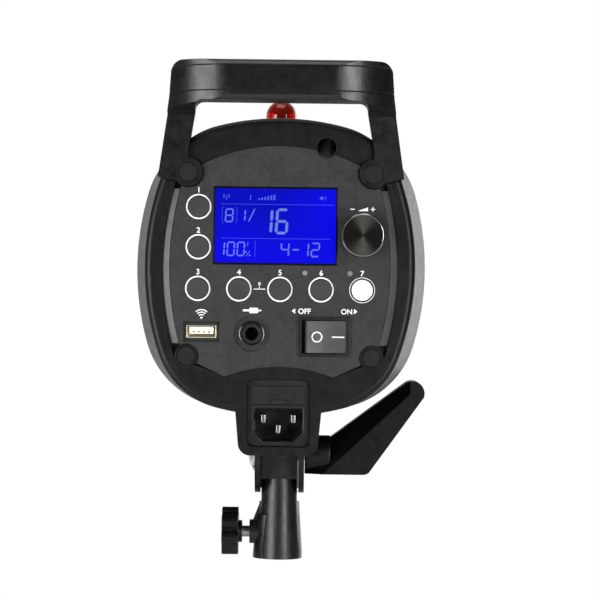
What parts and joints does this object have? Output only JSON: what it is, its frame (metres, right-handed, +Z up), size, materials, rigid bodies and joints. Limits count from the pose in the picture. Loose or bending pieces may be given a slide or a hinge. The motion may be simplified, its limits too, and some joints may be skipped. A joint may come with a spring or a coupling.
{
  "type": "monolight strobe",
  "caption": "Studio flash head with a rear control panel, carry handle, umbrella tube and accessory ring, on a tilting socket for a lighting stand.",
  "frame": {"origin": "centre of the stand socket's mouth, on the socket's axis", "axes": "+Z up along the stand, +Y the way the flash fires, -Y the control panel, +X to the panel's right"},
  "size_m": [0.1581, 0.3043, 0.2559],
  "materials": {
    "case_black": "fine textured black moulding",
    "vent_black": "satin black louvres",
    "panel_charcoal": "speckled charcoal with white print",
    "handle_black": "satin black moulding",
    "rubber_black": "matte rubber",
    "screw_steel": "zinc plated",
    "washer_black": "friction disc",
    "display_blue": "backlit blue display",
    "board_green": "soldered board",
    "led_clear": "diffused indicator",
    "key_black": "satin key",
    "key_white": "white key",
    "dial_black": "spun black face",
    "encoder_grey": "moulded",
    "port_gold": "bright shell",
    "jack_black": "moulded socket",
    "switch_black": "semi gloss",
    "inlet_black": "semi gloss",
    "pin_nickel": "nickel plated",
    "fuse_glass": "clear tube",
    "tube_black": "black tube",
    "sensor_red": "clear red dome",
    "sensor_ring": "moulded collar",
    "chassis_zinc": "zinc plated sheet",
    "capacitor_blue": "sleeved can",
    "core_copper": "wound copper",
    "fan_black": "moulded fan",
    "collar_black": "powder coated casting",
    "ring_satin": "satin turned ring",
    "dish_polished": "polished dish",
    "tube_quartz": "quartz tube",
    "ceramic_white": "glazed ceramic",
    "lamp_brass": "threaded cap",
    "lamp_frosted": "frosted envelope",
    "socket_black": "semi gloss black casting",
    "tip_brass": "turned tip",
    "knob_black": "lobed moulding",
    "bolt_chrome": "polished"
  },
  "bodies": {
    "stand": {"stand_socket": "socket_black"},
    "head": {"housing_upper": "case_black", "housing_lower": "case_black", "rear_cover": "case_black", "vent_grille_left": "vent_black", "vent_grille_right": "vent_black", "control_panel": "panel_charcoal", "handle": "handle_black", "screw_caps": "rubber_black", "case_screws": "screw_steel", "chassis_screws": "screw_steel", "pivot_washers": "washer_black", "lcd_window": "display_blue", "lcd_module": "display_blue", "control_board": "board_green", "power_board": "board_green", "indicator_leds": "led_clear", "encoder_body": "encoder_grey", "usb_port": "port_gold", "sync_jack": "jack_black", "jack_nut": "jack_black", "switch_frame": "switch_black", "inlet_body": "inlet_black", "inlet_pins": "pin_nickel", "umbrella_tube": "tube_black", "sensor_dome": "sensor_red", "sensor_base": "sensor_ring", "chassis_plate": "chassis_zinc", "capacitors": "capacitor_blue", "transformer": "core_copper", "fan_frame": "fan_black", "front_collar": "collar_black", "mount_ring": "ring_satin", "reflector_dish": "dish_polished", "flash_tube": "tube_quartz", "tube_sockets": "ceramic_white", "lamp_socket": "ceramic_white", "lamp_cap": "lamp_brass", "lamp_glass": "lamp_frosted", "yoke": "socket_black", "pivot_bolt": "bolt_chrome"},
    "clamp_pad": {"clamp_tip": "tip_brass"},
    "clamp_hand_screw": {"clamp_screw": "screw_steel", "clamp_knob": "knob_black"},
    "lever": {"tilt_lever": "handle_black"},
    "dial_plunger": {"encoder_plunger": "encoder_grey"},
    "dial": {"encoder_shaft": "screw_steel", "set_knob": "dial_black"},
    "rocker": {"switch_rocker": "switch_black"},
    "fuse_tray": {"fuse_drawer": "inlet_black", "fuse_link": "fuse_glass"},
    "fan": {"fan_rotor": "fan_black"},
    "lock": {"lock_slider": "collar_black"},
    "key_receiver": {"button_receiver": "key_black"},
    "key_group": {"button_group": "key_black"},
    "key_mode": {"button_mode": "key_black"},
    "key_slave": {"button_slave": "key_black"},
    "key_beep": {"button_beep": "key_black"},
    "key_lamp": {"button_lamp": "key_black"},
    "key_test": {"button_test": "key_white"}
  },
  "joints": [
    {"name": "head_tilt", "type": "hinge", "parent": "stand", "child": "head", "pos_m": [0, 0, 0.0568], "axis": [1, 0, 0], "range_deg": [-90, 75]},
    {"name": "lever_swing", "type": "hinge", "parent": "head", "child": "lever", "pos_m": [0, 0, 0.0568], "axis": [1, 0, 0], "range_deg": [0, 80]},
    {"name": "clamp_feed", "type": "slide", "parent": "stand", "child": "clamp_pad", "axis": [1, 0, 0], "range_m": [0, 0.0035]},
    {"name": "clamp_turn", "type": "hinge", "parent": "clamp_pad", "child": "clamp_hand_screw", "pos_m": [-0.02, 0, 0.014], "axis": [1, 0, 0], "range_deg": [0, 1260]},
    {"name": "dial_push", "type": "slide", "parent": "head", "child": "dial_plunger", "axis": [0, 1, 0], "range_m": [0, 0.0005], "stiffness_N_per_m": 1500, "springref_m": -0.0005},
    {"name": "dial_turn", "type": "hinge", "parent": "dial_plunger", "child": "dial", "pos_m": [0.0402, -0.13, 0.1722], "axis": [0, 1, 0], "continuous": true},
    {"name": "rocker_tip", "type": "hinge", "parent": "head", "child": "rocker", "pos_m": [0.0219, -0.12, 0.1224], "axis": [0, 0, -1], "range_deg": [0, 18]},
    {"name": "fuse_pull", "type": "slide", "parent": "head", "child": "fuse_tray", "axis": [0, -1, 0], "range_m": [0, 0.015]},
    {"name": "fan_spin", "type": "hinge", "parent": "head", "child": "fan", "pos_m": [0, -0.04, 0.1524], "axis": [0, 1, 0], "continuous": true},
    {"name": "lock_pull", "type": "slide", "parent": "head", "child": "lock", "axis": [0, -1, 0], "range_m": [0, 0.004], "stiffness_N_per_m": 500, "springref_m": -0.002},
    {"name": "press_receiver", "type": "slide", "parent": "head", "child": "key_receiver", "axis": [0, 1, 0], "range_m": [0, 0.0008], "stiffness_N_per_m": 400, "springref_m": -0.0005},
    {"name": "press_group", "type": "slide", "parent": "head", "child": "key_group", "axis": [0, 1, 0], "range_m": [0, 0.0008], "stiffness_N_per_m": 400, "springref_m": -0.0005},
    {"name": "press_mode", "type": "slide", "parent": "head", "child": "key_mode", "axis": [0, 1, 0], "range_m": [0, 0.0008], "stiffness_N_per_m": 400, "springref_m": -0.0005},
    {"name": "press_slave", "type": "slide", "parent": "head", "child": "key_slave", "axis": [0, 1, 0], "range_m": [0, 0.0008], "stiffness_N_per_m": 400, "springref_m": -0.0005},
    {"name": "press_beep", "type": "slide", "parent": "head", "child": "key_beep", "axis": [0, 1, 0], "range_m": [0, 0.0008], "stiffness_N_per_m": 400, "springref_m": -0.0005},
    {"name": "press_lamp", "type": "slide", "parent": "head", "child": "key_lamp", "axis": [0, 1, 0], "range_m": [0, 0.0008], "stiffness_N_per_m": 400, "springref_m": -0.0005},
    {"name": "press_test", "type": "slide", "parent": "head", "child": "key_test", "axis": [0, 1, 0], "range_m": [0, 0.0008], "stiffness_N_per_m": 400, "springref_m": -0.0005}
  ],
  "couplings": [
    {"joint": "clamp_feed", "follows": "clamp_turn", "m_per_rad": 0.00015915}
  ]
}
